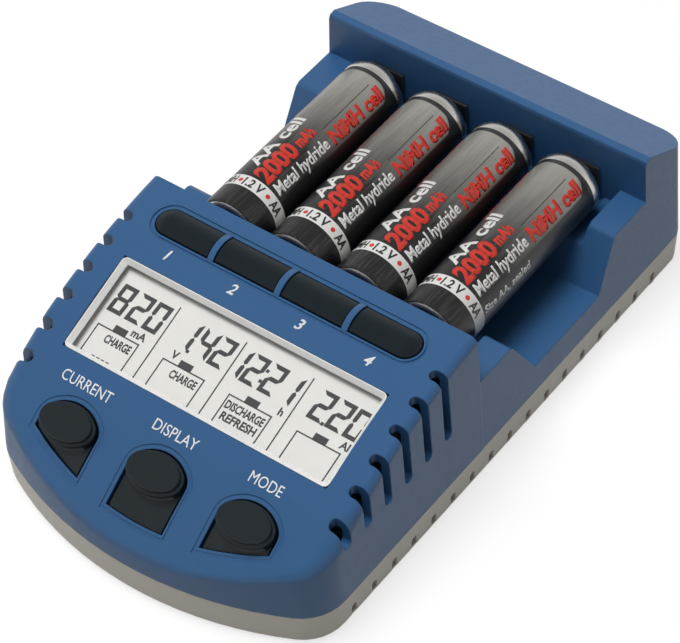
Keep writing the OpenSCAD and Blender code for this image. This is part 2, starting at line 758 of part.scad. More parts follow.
// Coil spring between the console's rear rib and the contact's tab
module contact_spring(i) color("silver") {
    turns = 6;
    steps = 12;
    sides = 5;
    low = console_y + 0.05;
    run = tab_y - low - 0.05 - spring_wire;
    n = turns * steps;
    mean_r = (spring_d - spring_wire) / 2;
    ring = [for (k = [0 : n], s = [0 : sides - 1])
        let (a = 360 * k / steps, b = 360 * s / sides, r = mean_r + spring_wire / 2 * cos(b))
        [r * cos(a), low + spring_wire / 2 + run * k / n + spring_wire / 2 * sin(b), r * sin(a)]];
    translate([cell_x[i], 0, spring_z]) polyhedron(
        points = ring,
        faces = concat(
            [[for (s = [0 : sides - 1]) s]],
            [[for (s = [sides - 1 : -1 : 0]) n * sides + s]],
            [for (k = [0 : n - 1], s = [0 : sides - 1]) let (next = (s + 1) % sides)
                [k * sides + s, (k + 1) * sides + s, (k + 1) * sides + next, k * sides + next]]));
}

// Fixed contact at a cell's button: plate on the bar's face, leg down to the board
module button_contact(i) color("gainsboro") translate([cell_x[i], plate_y, 0]) {
    dimple = bay_rear_gap - contact_t - stop_gap - 0.05;
    translate([-plate_w / 2, 0, cell_z - plate_low]) cube([plate_w, contact_t, plate_low + plate_high]);
    translate([0, contact_t / 2, cell_z]) rotate([90, 0, 0])
        cylinder(h = dimple + contact_t / 2, r1 = plate_high, r2 = plate_high - 0.8, $fn = 32);
    translate([-leg_w / 2, 0, main_top]) cube([leg_w, contact_t, cell_z - main_top]);
}

module cell(i) color("dimgray") translate([cell_x[i], cell_y, cell_z]) rotate([-90, 0, 0])
    rotate_extrude($fn = 96) polygon([
        [0, 0], [cell_r - 0.8, 0], [cell_r, 0.8],
        [cell_r, cell_l - button_h - 1.1], [cell_r - 0.35, cell_l - button_h - 0.4],
        [cell_r - 1.3, cell_l - button_h], [2.75, cell_l - button_h],
        [2.75, cell_l - 0.3], [2.45, cell_l], [0, cell_l]]);

module main_board() color("darkgreen") difference() {
    translate([-main_w / 2, main_front, main_z]) cube([main_w, main_rear - main_front, board_t]);
    for (x = board_screw_xs, y = board_screw_ys)
        translate([x, y, main_z - past]) cylinder(h = board_t + 2 * past, r = 1.2, $fn = 24);
}

module power_socket() color([0.12, 0.12, 0.13]) translate([0, socket_y, 0]) difference() {
    union() {
        translate([-socket_body[0] / 2, -socket_body[1], main_top]) cube(socket_body);
        translate([0, -past, socket_z]) rotate([-90, 0, 0])
            cylinder(h = wall + 1 + past, r = collar_r, $fn = 48);
    }
    // Bore for the plug, round a centre pin
    translate([0, 2 - socket_body[1], socket_z]) rotate([-90, 0, 0]) difference() {
        cylinder(h = socket_body[1] + 2 * wall, r = socket_d / 2, $fn = 48);
        translate([0, 0, -past]) cylinder(h = socket_body[1] + past, r = 1, $fn = 32);
    }
}

module capacitors() color([0.1, 0.1, 0.16])
    for (x = [-capacitor_x, capacitor_x]) translate([x, bar_y + wall + capacitor_r + 0.5, main_top])
        cylinder(h = capacitor_h, r = capacitor_r, $fn = 48);

module charge_transistors() color([0.1, 0.1, 0.1])
    for (x = cell_x) translate([x - transistor[0] / 2, transistor_y, main_top]) cube(transistor);

// Flat cable that bends from the main board up to the display board
module board_cable() color("lightgray") {
    cable_y = main_front + 2;
    mid_z = (main_top + crown_z + crown_r - board_drop) / 2;
    intersection() {
        translate([0, cable_y + 0.7 * cable_bend, mid_z]) rotate([0, 90, 0]) difference() {
            cylinder(h = cable_w, r = cable_bend, center = true, $fn = 96);
            cylinder(h = cable_w + past, r = cable_bend - cable_t, center = true, $fn = 96);
        }
        translate([-cable_w, cable_y - 2 * cable_bend, main_top])
            cube([2 * cable_w, 2 * cable_bend + 1, crown_h]);
        on_board() translate([-body_w, -body_l, -board_t - body_w]) cube([2 * body_w, 2 * body_l, body_w]);
    }
}

// A screw with its head down at the origin
module screw(head_l, head_r, l, r) {
    cylinder(h = head_l, r = head_r, $fn = 32);
    cylinder(h = head_l + l, r = r, $fn = 24);
}

module housing_screws() color("silver")
    screw_places() translate([0, 0, base_z + head_drop])
        screw(head_h, screw_head_d / 2, screw_l, screw_hole_r - 0.05);

module board_screws() color("silver")
    for (x = board_screw_xs, y = board_screw_ys)
        translate([x, y, main_top + board_head_h]) mirror([0, 0, 1])
            screw(board_head_h, board_head_r, board_screw_l, board_screw_r);

module display_screws() color("silver") on_board()
    for (p = display_screw_places)
        translate([p[0], p[1], -board_t - display_head_h])
            screw(display_head_h, display_head_r, board_t + display_screw_l, display_screw_r);

module rubber_feet() color([0.2, 0.2, 0.2])
    for (x = [-foot_x, foot_x], y = foot_ys)
        translate([x, y, 0]) cylinder(h = foot_t, r = foot_d / 2, $fn = 48);

upper_shell();
base_shell();
display_lens();
lcd_panel();
lcd_frame();
contact_strips();
display_board();
round_key(-1);  // current_key
round_key(0);  // display_key
round_key(1);  // mode_key
slot_key(0);  // slot_key_1
slot_key(1);  // slot_key_2
slot_key(2);  // slot_key_3
slot_key(3);  // slot_key_4
round_key_switches();
slot_key_switches();
sliding_contact(0);  // sliding_contact_1
sliding_contact(1);  // sliding_contact_2
sliding_contact(2);  // sliding_contact_3
sliding_contact(3);  // sliding_contact_4
contact_spring(0);  // contact_spring_1
contact_spring(1);  // contact_spring_2
contact_spring(2);  // contact_spring_3
contact_spring(3);  // contact_spring_4
button_contact(0);  // button_contact_1
button_contact(1);  // button_contact_2
button_contact(2);  // button_contact_3
button_contact(3);  // button_contact_4
cell(0);  // cell_1
cell(1);  // cell_2
cell(2);  // cell_3
cell(3);  // cell_4
main_board();
power_socket();
capacitors();
charge_transistors();
board_cable();
housing_screws();
board_screws();
display_screws();
rubber_feet();
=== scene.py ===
"""Looks of a desktop charger for four round cells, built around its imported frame.

Lengths in the constants are millimetres unless a comment says otherwise, and angles are degrees.
"""
import math

import bmesh
import bpy
from mathutils import Matrix, Vector


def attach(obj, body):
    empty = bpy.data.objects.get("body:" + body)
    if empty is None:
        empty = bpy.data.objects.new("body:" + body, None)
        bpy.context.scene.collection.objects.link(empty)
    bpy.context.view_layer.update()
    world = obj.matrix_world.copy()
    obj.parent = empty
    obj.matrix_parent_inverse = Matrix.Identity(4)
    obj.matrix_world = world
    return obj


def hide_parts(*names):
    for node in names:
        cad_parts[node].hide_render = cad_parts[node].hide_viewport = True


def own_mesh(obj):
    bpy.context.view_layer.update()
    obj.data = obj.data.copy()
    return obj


MM = 0.001

# The photograph's camera. Its focal length and the picture's width are in pixels
PHOTO_W = 680
FOCAL_PX = 3186.2
SENSOR = 36.0
NEAREST = 10.0
CAMERA_AT = (259.22, -320.22, 460.13)
CAMERA_AZIMUTH = 38.92
CAMERA_ELEVATION = 47.34
CAMERA_ROLL = -3.27

# The studio's one lamp, in metres and watts
LAMP_AT = (-0.14, -0.12, 1.04)
LAMP_AIM = (0, 0, 0.01)
LAMP_SIZE = 0.5
LAMP_POWER = 9.7
# How strongly the surround and the floor light the object, and how strongly they are seen
SURROUND_LIT = 0.16
SURROUND_SHOWN = 1.0
FLOOR_LIT = 0.0
FLOOR_SHOWN = 0.75
FLOOR_GREY = (0.28, 0.28, 0.28)
# Half the floor's side, in metres
FLOOR_HALF = 3.0
# The surround darkens between two heights of the direction's Z, to a share that is left overhead
DARKENS_FROM = 0.4
DARKENS_TO = 0.9
OVERHEAD_SHARE = 0.6

# The console's crown, a cylinder along X, and the tilts of what stands on it
CROWN_R = 108.0
CROWN_Y = 3.8
CROWN_Z = -70.2
DISPLAY_TILT = 20.4
SLOT_TILT = 9.52
PANEL_DROP = 3.1

# The slots in the base's sides: their places, radius and top, and the depth of their backs.
# Each has a dark sheet at its back, painted shade for the dark inside of a slot that goes through, and a sill
# closes it below
BODY_HALF_W = 38.5
BASE_LOW = 0.8
BASE_SLOT_COUNT = 17
BASE_SLOT_FIRST = 52.3
BASE_SLOT_PITCH = 6.2
BASE_SLOT_R = 0.69
BASE_SLOT_TOP = 2.89
BASE_SLOT_BACK = 1.39
SHADE_SHEET = 0.1
SILL_H = 0.55
SILL_FACE = 0.62

# The cells, and the display's columns in front of them
CELL_R = 7.0
CELL_X = (-23.1, -7.7, 7.7, 23.1)
CELL_Y = -2.8
CELL_Z = 26.8
CELL_PITCH = 15.4
# The silver field of a cell's sleeve. Its middle and half width are shares of the pitch, and its end
# and the start and end of its fade are places along Y. Its edge is soft from EDGE_IN inside to
# EDGE_OUT outside
# The charcoal beyond the field's sides is partly the label's print and partly painted shade between the cells
FIELD_MIDDLE = 0.518
FIELD_HALF = 0.372
FIELD_END = 41.5
FIELD_CORNER = 2.6
FIELD_EDGE_IN = 0.1
FIELD_EDGE_OUT = 0.15
FIELD_METALLIC = 0.35
FADE_FROM = 16.0
FADE_TO = 46.0
FADE_STREAKS = 0.12

# Colours, as linear values
BLUE = (0.031, 0.103, 0.238)
BEIGE = (0.84, 0.81, 0.70)
CHARCOAL = (0.006, 0.011, 0.014)
# The dark sheet in the base's slots is painted shade
SLOT_PAINTED_SHADE = (0.03, 0.028, 0.024)
INK = (0.88, 0.88, 0.88)
RIM_GREY = (0.90, 0.90, 0.88)
LCD_GREY = (0.82, 0.81, 0.77)
LCD_MARK = (0.010, 0.010, 0.011)
SLEEVE_DARK = (0.014, 0.014, 0.015)
SLEEVE_SILVER = (0.40, 0.39, 0.35)
LABEL_RED = (0.62, 0.035, 0.02)
LABEL_WHITE = (0.80, 0.79, 0.77)
LENS = (0.93, 0.95, 0.96)
BOARD_GREEN = (0.01, 0.06, 0.025)
BOARD_DARK = (0.008, 0.045, 0.018)
BOARD_LIGHT = (0.014, 0.085, 0.035)
STEEL = (0.62, 0.60, 0.56)
NICKEL = (0.60, 0.58, 0.54)
# The button contacts' nickel is painted darker, as painted shade at the cells' button ends
SHADE_DARKENED_NICKEL = (0.20, 0.19, 0.18)
ZINC = (0.5, 0.5, 0.5)
BLACK = (0.012, 0.012, 0.013)
RUBBER = (0.02, 0.02, 0.02)
GREY_RUBBER = (0.08, 0.075, 0.08)
CABLE_GREY = (0.35, 0.35, 0.35)

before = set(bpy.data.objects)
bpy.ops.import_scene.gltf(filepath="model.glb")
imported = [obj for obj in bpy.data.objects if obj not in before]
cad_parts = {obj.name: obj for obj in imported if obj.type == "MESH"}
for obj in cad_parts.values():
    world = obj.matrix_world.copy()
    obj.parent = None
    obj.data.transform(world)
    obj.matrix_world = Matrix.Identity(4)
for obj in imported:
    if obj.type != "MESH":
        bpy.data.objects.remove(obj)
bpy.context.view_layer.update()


def tilted(tilt, u, v, w):
    """The point u across and v up the slope, w above the crown, in the plane that touches it at a tilt."""
    t = math.radians(tilt)
    r = CROWN_R + w
    y = CROWN_Y + v * math.cos(t) - r * math.sin(t)
    z = CROWN_Z + v * math.sin(t) + r * math.cos(t)
    return Vector((u, y, z)) * MM


def on_crown(u, s, w):
    """The point u across and an arc length s behind the crown's top line, w above its surface."""
    a = s / CROWN_R
    r = CROWN_R + w
    return Vector((u, CROWN_Y + r * math.sin(a), CROWN_Z + r * math.cos(a))) * MM


def on_cell(index, s, y, w):
    """The point an arc length s to the right of a cell's top line, y along Y and w above its sleeve."""
    a = s / CELL_R
    r = CELL_R + w
    return Vector((CELL_X[index] + r * math.sin(a), y, CELL_Z + r * math.cos(a))) * MM


# Materials

# The range that noise mostly stays in
NOISE_LOW = 0.3
NOISE_HIGH = 0.7
# How much a moulded plastic's colour and roughness vary
COLOUR_SPREAD = 0.02
ROUGHNESS_SPREAD = 0.04
# How much of the lens hides what is behind it
LENS_ALPHA = 0.03


def scaled(colour, share):
    """A colour made darker or lighter."""
    return [c * share for c in colour]


class Shader:
    """A Principled material with short ways to add nodes and links."""

    def __init__(self, name, colour, roughness, metallic=0.0, specular=0.5):
        self.material = bpy.data.materials.new(name)
        self.material.use_nodes = True
        self.tree = self.material.node_tree
        self.shader = self.tree.nodes["Principled BSDF"]
        self.shader.inputs["Base Color"].default_value = (*colour, 1)
        self.shader.inputs["Roughness"].default_value = roughness
        self.shader.inputs["Metallic"].default_value = metallic
        self.shader.inputs["Specular IOR Level"].default_value = specular
        self.coordinates = self.node("ShaderNodeTexCoord").outputs["Object"]

    def node(self, kind, **values):
        made = self.tree.nodes.new(kind)
        for name, value in values.items():
            setattr(made, name, value)
        return made

    def link(self, start, end):
        self.tree.links.new(start, end)

    def noise(self, size_mm, detail=2.0, stretch=(1, 1, 1)):
        """Noise whose features are about size_mm across, stretched along the axes."""
        mapping = self.node("ShaderNodeMapping")
        mapping.inputs["Scale"].default_value = [1 / s for s in stretch]
        self.link(self.coordinates, mapping.inputs["Vector"])
        made = self.node("ShaderNodeTexNoise")
        made.inputs["Scale"].default_value = 1 / (size_mm * MM)
        made.inputs["Detail"].default_value = detail
        self.link(mapping.outputs["Vector"], made.inputs["Vector"])
        return made.outputs["Fac"]

    def mixed(self, factor, low, high):
        """A colour between two, by an output from 0 to 1. Each colour may be a value or an output."""
        mix = self.node("ShaderNodeMix", data_type="RGBA")
        for socket, value in ((mix.inputs["A"], low), (mix.inputs["B"], high)):
            if isinstance(value, bpy.types.NodeSocket):
                self.link(value, socket)
            else:
                socket.default_value = (*value, 1)
        self.link(factor, mix.inputs["Factor"])
        return mix.outputs["Result"]

    def ranged(self, value, low, high, to_low=0.0, to_high=1.0):
        """A value mapped from one range to another, and held at its ends."""
        made = self.node("ShaderNodeMapRange")
        self.link(value, made.inputs["Value"])
        made.inputs["From Min"].default_value = low
        made.inputs["From Max"].default_value = high
        made.inputs["To Min"].default_value = to_low
        made.inputs["To Max"].default_value = to_high
        return made.outputs["Result"]

    def math(self, operation, a, b=None):
        made = self.node("ShaderNodeMath", operation=operation)
        for socket, value in zip(made.inputs, (a, b)):
            if isinstance(value, bpy.types.NodeSocket):
                self.link(value, socket)
            elif value is not None:
                socket.default_value = value
        return made.outputs["Value"]

    def axis(self, name):
        """One of the object coordinates, X, Y or Z, in metres."""
        parts = self.node("ShaderNodeSeparateXYZ")
        self.link(self.coordinates, parts.inputs["Vector"])
        return parts.outputs[name]

    def colour(self, output):
        self.link(output, self.shader.inputs["Base Color"])

    def roughness(self, noise, low, high):
        """Roughness that follows noise between two values."""
        self.link(self.ranged(noise, NOISE_LOW, NOISE_HIGH, low, high), self.shader.inputs["Roughness"])

    def bump(self, height, depth_mm, rounding_mm=0.0):
        """Raises the surface by up to depth_mm, and shades sharp edges as if rounded to a radius."""
        made = self.node("ShaderNodeBump")
        made.inputs["Distance"].default_value = depth_mm * MM
        self.link(height, made.inputs["Height"])
        if rounding_mm:
            edges = self.node("ShaderNodeBevel", samples=6)
            edges.inputs["Radius"].default_value = rounding_mm * MM
            self.link(edges.outputs["Normal"], made.inputs["Normal"])
        self.link(made.outputs["Normal"], self.shader.inputs["Normal"])


def moulded(name, colour, roughness, grain_mm=0.28, depth_mm=0.008, specular=0.5, rounding_mm=0.0):
    """Moulded plastic with a spark-eroded grain and a faint unevenness of colour."""
    made = Shader(name, colour, roughness, specular=specular)
    darker = scaled(colour, 1 - COLOUR_SPREAD)
    lighter = scaled(colour, 1 + COLOUR_SPREAD)
    made.colour(made.mixed(made.noise(9, 3), darker, lighter))
    made.roughness(made.noise(1.4, 4), roughness - ROUGHNESS_SPREAD, roughness + ROUGHNESS_SPREAD)
    made.bump(made.noise(grain_mm, 2), depth_mm, rounding_mm)
    return made.material


def charcoal(name, specular):
    """The keys' plastic, with a coarser grain than the shells'."""
    return moulded(name, CHARCOAL, 0.42, grain_mm=0.35, depth_mm=0.02, specular=specular, rounding_mm=0.2)


def metal(name, colour, roughness):
    """Plated sheet metal with faint rolling lines along Y."""
    made = Shader(name, colour, roughness, metallic=1.0)
    streaks = made.noise(0.25, 3, (1, 8, 1))
    made.roughness(streaks, roughness - 0.05, roughness + 0.08)
    made.colour(made.mixed(made.noise(3, 3), scaled(colour, 0.9), colour))
    made.bump(streaks, 0.0015)
    return made.material


def printed(name, colour, roughness=0.45):
    """Ink with a slightly broken tone."""
    made = Shader(name, colour, roughness)
    made.colour(made.mixed(made.noise(0.5, 3), scaled(colour, 0.9), colour))
    return made.material


def clear_plastic():
    """The window's lens, which hides almost nothing."""
    made = Shader("clear_plastic", LENS, 0.05, specular=0.3)
    made.shader.inputs["Alpha"].default_value = LENS_ALPHA
    made.roughness(made.noise(6, 3), 0.03, 0.07)
    return made.material


def display_grey():
    """The panel's reflective back, with a fine cell structure."""
    made = Shader("display_grey", LCD_GREY, 0.42)
    made.colour(made.mixed(made.noise(4, 3), scaled(LCD_GREY, 0.97), scaled(LCD_GREY, 1.03)))
    made.bump(made.noise(0.2, 2), 0.003)
    return made.material


def circuit_board():
    """Green lacquer over copper, in patches."""
    made = Shader("circuit_board", BOARD_GREEN, 0.35)
    made.colour(made.mixed(made.noise(1.2, 4), BOARD_DARK, BOARD_LIGHT))
    return made.material


def cell_sleeve():
    """Printed film: charcoal, with a field round the top that fades into silver towards the button. The
    charcoal beyond the field's sides is partly print and partly painted shade between the cells.
    """
    made = Shader("cell_sleeve", SLEEVE_DARK, 0.33)
    along = made.axis("Y")
    streaks = made.noise(0.5, 3, (1, 14, 1))
    faded = made.ranged(along, FADE_FROM * MM, FADE_TO * MM)
    fade = made.math("ADD", faded, made.ranged(streaks, 0.2, 0.8, -FADE_STREAKS, FADE_STREAKS))
    silver = made.mixed(made.ranged(fade, 0.0, 1.0), SLEEVE_DARK, SLEEVE_SILVER)
    # The field ends across X, so each cell's sides stay dark: partly print, partly painted shade
    # How far a point lies outside the field's straight part, across and along, gives its round corners
    turn = made.math("FRACT", made.math("DIVIDE", made.axis("X"), CELL_PITCH * MM))
    across = made.math("ABSOLUTE", made.math("SUBTRACT", turn, FIELD_MIDDLE))
    beyond = made.math("MULTIPLY", made.math("SUBTRACT", across, FIELD_HALF), CELL_PITCH * MM)
    side = made.math("MAXIMUM", made.math("ADD", beyond, FIELD_CORNER * MM), 0.0)
    end = made.math("MAXIMUM", made.math("SUBTRACT", along, (FIELD_END - FIELD_CORNER) * MM), 0.0)
    squares = made.math("ADD", made.math("MULTIPLY", side, side), made.math("MULTIPLY", end, end))
    reach = made.math("SQRT", squares)
    inner = (FIELD_CORNER - FIELD_EDGE_IN) * MM
    outer = (FIELD_CORNER + FIELD_EDGE_OUT) * MM
    inside = made.ranged(reach, inner, outer, 1.0, 0.0)
    made.colour(made.mixed(inside, SLEEVE_DARK, silver))
    made.link(made.math("MULTIPLY", inside, FIELD_METALLIC), made.shader.inputs["Metallic"])
    made.roughness(streaks, 0.33, 0.38)
    made.bump(streaks, 0.001)
    return made.material


# Meshes

# Up to this angle faces are merged as flat
FLAT_ANGLE = 0.4
# From these angles on, an edge of a CAD node is rounded or shaded as sharp, and an edge of a new
# piece is shaded as sharp
ROUNDED_ANGLE = 32
NODE_SHARP_ANGLE = 40
PIECE_SHARP_ANGLE = 35
# Points of a CAD node that are closer than this are one
MERGE_DISTANCE = 0.0005
# Steps of a curve in a letter, and the distance in letters of size 1 under which its points are one
LETTER_STEPS = 3
LETTER_MERGE = 1e-5
# Steps of a full turn, and of a round corner or arch
LATHE_STEPS = 96
ARC_STEPS = 8


def link_object(name, data):
    """A new object in the scene."""
    made = bpy.data.objects.new(name, data)
    bpy.context.scene.collection.objects.link(made)
    return made


def add_piece(name, bm, materials, body="root", smooth=True):
    """Turns a bmesh into an object that rides on a body."""
    mesh = bpy.data.meshes.new(name)
    bm.to_mesh(mesh)
    bm.free()
    for material in materials:
        mesh.materials.append(material)
    if smooth:
        mesh.shade_smooth()
        mesh.set_sharp_from_angle(angle=math.radians(PIECE_SHARP_ANGLE))
    made = link_object(name, mesh)
    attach(made, body)
    return made


def finished_mesh(made):
    """Applies an object's modifiers."""
    bpy.context.view_layer.update()
    graph = bpy.context.evaluated_depsgraph_get()
    mesh = bpy.data.meshes.new_from_object(made.evaluated_get(graph))
    old = made.data
    made.modifiers.clear()
    made.data = mesh
    bpy.data.meshes.remove(old)


def softened(node, name, material, width_mm=0.0, body="root", segments=2, weigh=None):
    """A smooth copy of a CAD node, which replaces the node.

    A width rounds its sharp edges, each by the weight that weigh gives it, or all of them alike.
    """
    bm = bmesh.new()
    bm.from_mesh(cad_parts[node].data)
    bmesh.ops.remove_doubles(bm, verts=bm.verts, dist=MERGE_DISTANCE * MM)
    flat = math.radians(FLAT_ANGLE)
    bmesh.ops.dissolve_limit(
        bm, angle_limit=flat, verts=bm.verts, edges=bm.edges, use_dissolve_boundaries=False)
    bm.normal_update()
    if width_mm:
        weights = bm.edges.layers.float.new("bevel_weight_edge")
        for edge in bm.edges:
            if len(edge.link_faces) == 2 and edge.calc_face_angle(0) > math.radians(ROUNDED_ANGLE):
                edge[weights] = weigh(edge) if weigh else 1.0
    mesh = bpy.data.meshes.new(name)
    bm.to_mesh(mesh)
    bm.free()
    mesh.materials.append(material)
    made = link_object(name, mesh)
    if width_mm:
        bevel = made.modifiers.new("soft_edges", "BEVEL")
        bevel.limit_method = "WEIGHT"
        bevel.width = width_mm * MM
        bevel.segments = segments
        bevel.use_clamp_overlap = True
        bevel.miter_outer = "MITER_ARC"
        finished_mesh(made)
    made.data.shade_smooth()
    made.data.set_sharp_from_angle(angle=math.radians(NODE_SHARP_ANGLE))
    normals = made.modifiers.new("even_shading", "WEIGHTED_NORMAL")
    normals.keep_sharp = True
    normals.weight = 80
    finished_mesh(made)
    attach(made, body)
    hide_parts(node)
    return made


def prism(bm, outline, place, low, high, index=0):
    """A closed plate between two levels. place turns an outline point and a level into a place."""
    bottom = [bm.verts.new(place(u, v, low)) for u, v in outline]
    top = [bm.verts.new(place(u, v, high)) for u, v in outline]
    faces = [bm.faces.new(bottom[::-1]), bm.faces.new(top)]
    n = len(outline)
    for i in range(n):
        faces.append(bm.faces.new((bottom[i], bottom[(i + 1) % n], top[(i + 1) % n], top[i])))
    for face in faces:
        face.material_index = index


def lettering(words, height, width=None, bold=0.0, thick=0.03, centre=(0.5, 0.5)):
    """Words as a solid mesh in a flat frame, in millimetres, with their box's given share at the origin."""
    curve = bpy.data.curves.new("letters", "FONT")
    curve.body = words
    curve.size = 1.0
    curve.offset = bold
    curve.resolution_u = LETTER_STEPS
    holder = link_object("letters", curve)
    graph = bpy.context.evaluated_depsgraph_get()
    mesh = bpy.data.meshes.new_from_object(holder.evaluated_get(graph))
    bpy.data.objects.remove(holder)
    bpy.data.curves.remove(curve)
    bm = bmesh.new()
    bm.from_mesh(mesh)
    bpy.data.meshes.remove(mesh)
    bmesh.ops.remove_doubles(bm, verts=bm.verts, dist=LETTER_MERGE)
    made = bmesh.ops.extrude_face_region(bm, geom=bm.faces[:])
    for v in (g for g in made["geom"] if isinstance(g, bmesh.types.BMVert)):
        v.co.z = 1.0
    bmesh.ops.recalc_face_normals(bm, faces=bm.faces)
    left = min(v.co.x for v in bm.verts)
    box_w = max(v.co.x for v in bm.verts) - left
    # Capitals and figures fill the height; letters that reach lower hang below it
    scale_y = height / CAP_HEIGHT
    scale_x = width / box_w if width else scale_y
    for v in bm.verts:
        v.co.x = (v.co.x - left - centre[0] * box_w) * scale_x
        v.co.y = (v.co.y - centre[1] * CAP_HEIGHT) * scale_y
        v.co.z *= thick
    return bm


def cap_height():
    """Height of a capital letter of size 1."""
    curve = bpy.data.curves.new("measure", "FONT")
    curve.body = "H"
    holder = link_object("measure", curve)
    bpy.context.view_layer.update()
    height = holder.dimensions.y
    bpy.data.objects.remove(holder)
    bpy.data.curves.remove(curve)
    return height


CAP_HEIGHT = cap_height()


def placed(bm, place, step=None):
    """Moves a flat mesh to its place. A step cuts it into strips first, so that it can bend across v."""
    if step:
        low = min(v.co.y for v in bm.verts)
        high = max(v.co.y for v in bm.verts)
        level = low + step
        while level < high:
            bmesh.ops.bisect_plane(
                bm, geom=bm.verts[:] + bm.edges[:] + bm.faces[:], plane_co=(0, level, 0), plane_no=(0, 1, 0))
            level += step
    for v in bm.verts:
        v.co = place(v.co.x, v.co.y, v.co.z)
    return bm


def joined(parts, indices=None):
    """Joins bmeshes into one, with a material index for each."""
    whole = bmesh.new()
    for i, bm in enumerate(parts):
        if indices:
            for face in bm.faces:
                face.material_index = indices[i]
        mesh = bpy.data.meshes.new("joined")
        bm.to_mesh(mesh)
        bm.free()
        whole.from_mesh(mesh)
        bpy.data.meshes.remove(mesh)
    return whole


def lathe(profile, place, index_of):
    """Turns a profile of (radius, along) points round a line. Points at radius 0 close its ends."""
    bm = bmesh.new()
    rings = []
    for r, y in profile:
        if r == 0:
            rings.append([bm.verts.new(place(0, 0, y))])
            continue
        ring = []
        for k in range(LATHE_STEPS):
            a = 2 * math.pi * k / LATHE_STEPS
            ring.append(bm.verts.new(place(r * math.sin(a), r * math.cos(a), y)))
        rings.append(ring)
    for i, (a, b) in enumerate(zip(rings, rings[1:])):
        for k in range(LATHE_STEPS):
            n = (k + 1) % LATHE_STEPS
            corners = [a[k % len(a)], a[n % len(a)], b[n % len(b)], b[k % len(b)]]
            unique = [c for j, c in enumerate(corners) if c not in corners[:j]]
            face = bm.faces.new(unique)
            face.material_index = index_of(i)
    bmesh.ops.recalc_face_normals(bm, faces=bm.faces)
    return bm


def corner(u, v, r, start, end, steps):
    """Points on a corner's arc."""
    angles = [math.radians(start + (end - start) * i / steps) for i in range(steps + 1)]
    return [(u + r * math.cos(a), v + r * math.sin(a)) for a in angles]


# Studio


def camera():
    """The photograph's camera."""
    data = bpy.data.cameras.new("camera")
    data.sensor_width = SENSOR
    data.lens = SENSOR * FOCAL_PX / PHOTO_W
    data.clip_start = NEAREST * MM
    made = link_object("camera", data)
    az, el, roll = (math.radians(a) for a in (CAMERA_AZIMUTH, CAMERA_ELEVATION, CAMERA_ROLL))
    back = Vector((math.sin(az) * math.cos(el), -math.cos(az) * math.cos(el), math.sin(el)))
    right = Vector((math.cos(az), math.sin(az), 0))
    up = back.cross(right)
    rolled_right = right * math.cos(roll) + up * math.sin(roll)
    rolled_up = up * math.cos(roll) - right * math.sin(roll)
    turn = Matrix((rolled_right, rolled_up, back)).transposed()
    made.matrix_world = Matrix.Translation(Vector(CAMERA_AT) * MM) @ turn.to_4x4()
    bpy.context.scene.camera = made


def main_lamp():
    """A square area lamp over the object. Only the surround shows in gloss, as with a polarised lamp."""
    data = bpy.data.lights.new("main_lamp", "AREA")
    data.shape = "SQUARE"
    data.size = LAMP_SIZE
    data.energy = LAMP_POWER
    made = link_object("main_lamp", data)
    made.visible_glossy = False
    made.location = LAMP_AT
    made.rotation_euler = (Vector(LAMP_AIM) - Vector(LAMP_AT)).to_track_quat("-Z", "Y").to_euler()


def backdrop_light(tree, lit, shown):
    """A strength that is one value for light on the object and another for what is seen."""
    path = tree.nodes.new("ShaderNodeLightPath")
    seen = tree.nodes.new("ShaderNodeMath")
    seen.operation = "MAXIMUM"
    tree.links.new(path.outputs["Is Camera Ray"], seen.inputs[0])
    tree.links.new(path.outputs["Is Transmission Ray"], seen.inputs[1])
    mirrored = tree.nodes.new("ShaderNodeMath")
    mirrored.operation = "MAXIMUM"
    tree.links.new(seen.outputs["Value"], mirrored.inputs[0])
    tree.links.new(path.outputs["Is Glossy Ray"], mirrored.inputs[1])
    mapped = tree.nodes.new("ShaderNodeMapRange")
    tree.links.new(mirrored.outputs["Value"], mapped.inputs["Value"])
    mapped.inputs["To Min"].default_value = lit
    mapped.inputs["To Max"].default_value = shown
    return mapped.outputs["Result"]


def surround():
    """A world that is white from the horizon up, and greyer overhead."""
    world = bpy.data.worlds.new("surround")
    bpy.context.scene.world = world
    world.use_nodes = True
    tree = world.node_tree
    back = tree.nodes["Background"]
    back.inputs["Color"].default_value = (1, 1, 1, 1)
    direction = tree.nodes.new("ShaderNodeSeparateXYZ")
    tree.links.new(tree.nodes.new("ShaderNodeTexCoord").outputs["Generated"], direction.inputs["Vector"])
    overhead = tree.nodes.new("ShaderNodeMapRange")
    tree.links.new(direction.outputs["Z"], overhead.inputs["Value"])
    overhead.inputs["From Min"].default_value = DARKENS_FROM
    overhead.inputs["From Max"].default_value = DARKENS_TO
    overhead.inputs["To Min"].default_value = 1.0
    overhead.inputs["To Max"].default_value = OVERHEAD_SHARE
    shown = backdrop_light(tree, SURROUND_LIT, SURROUND_SHOWN)
    strength = tree.nodes.new("ShaderNodeMath")
    strength.operation = "MULTIPLY"
    tree.links.new(shown, strength.inputs[0])
    tree.links.new(overhead.outputs["Result"], strength.inputs[1])
    tree.links.new(strength.outputs["Value"], back.inputs["Strength"])


def studio():
    """A pale floor, a white surround and one soft lamp overhead, a little to the left and in front."""
    bpy.context.scene.view_settings.view_transform = "Standard"
    surround()
    main_lamp()
    floor = bmesh.new()
    bmesh.ops.create_grid(floor, x_segments=1, y_segments=1, size=FLOOR_HALF)
    mesh = bpy.data.meshes.new("floor")
    floor.to_mesh(mesh)
    floor.free()
    shade = Shader("floor", FLOOR_GREY, 0.9, specular=0.0)
    shade.shader.inputs["Emission Color"].default_value = (1, 1, 1, 1)
    shade.link(backdrop_light(shade.tree, FLOOR_LIT, FLOOR_SHOWN), shade.shader.inputs["Emission Strength"])
    mesh.materials.append(shade.material)
    link_object("floor", mesh)


# The display

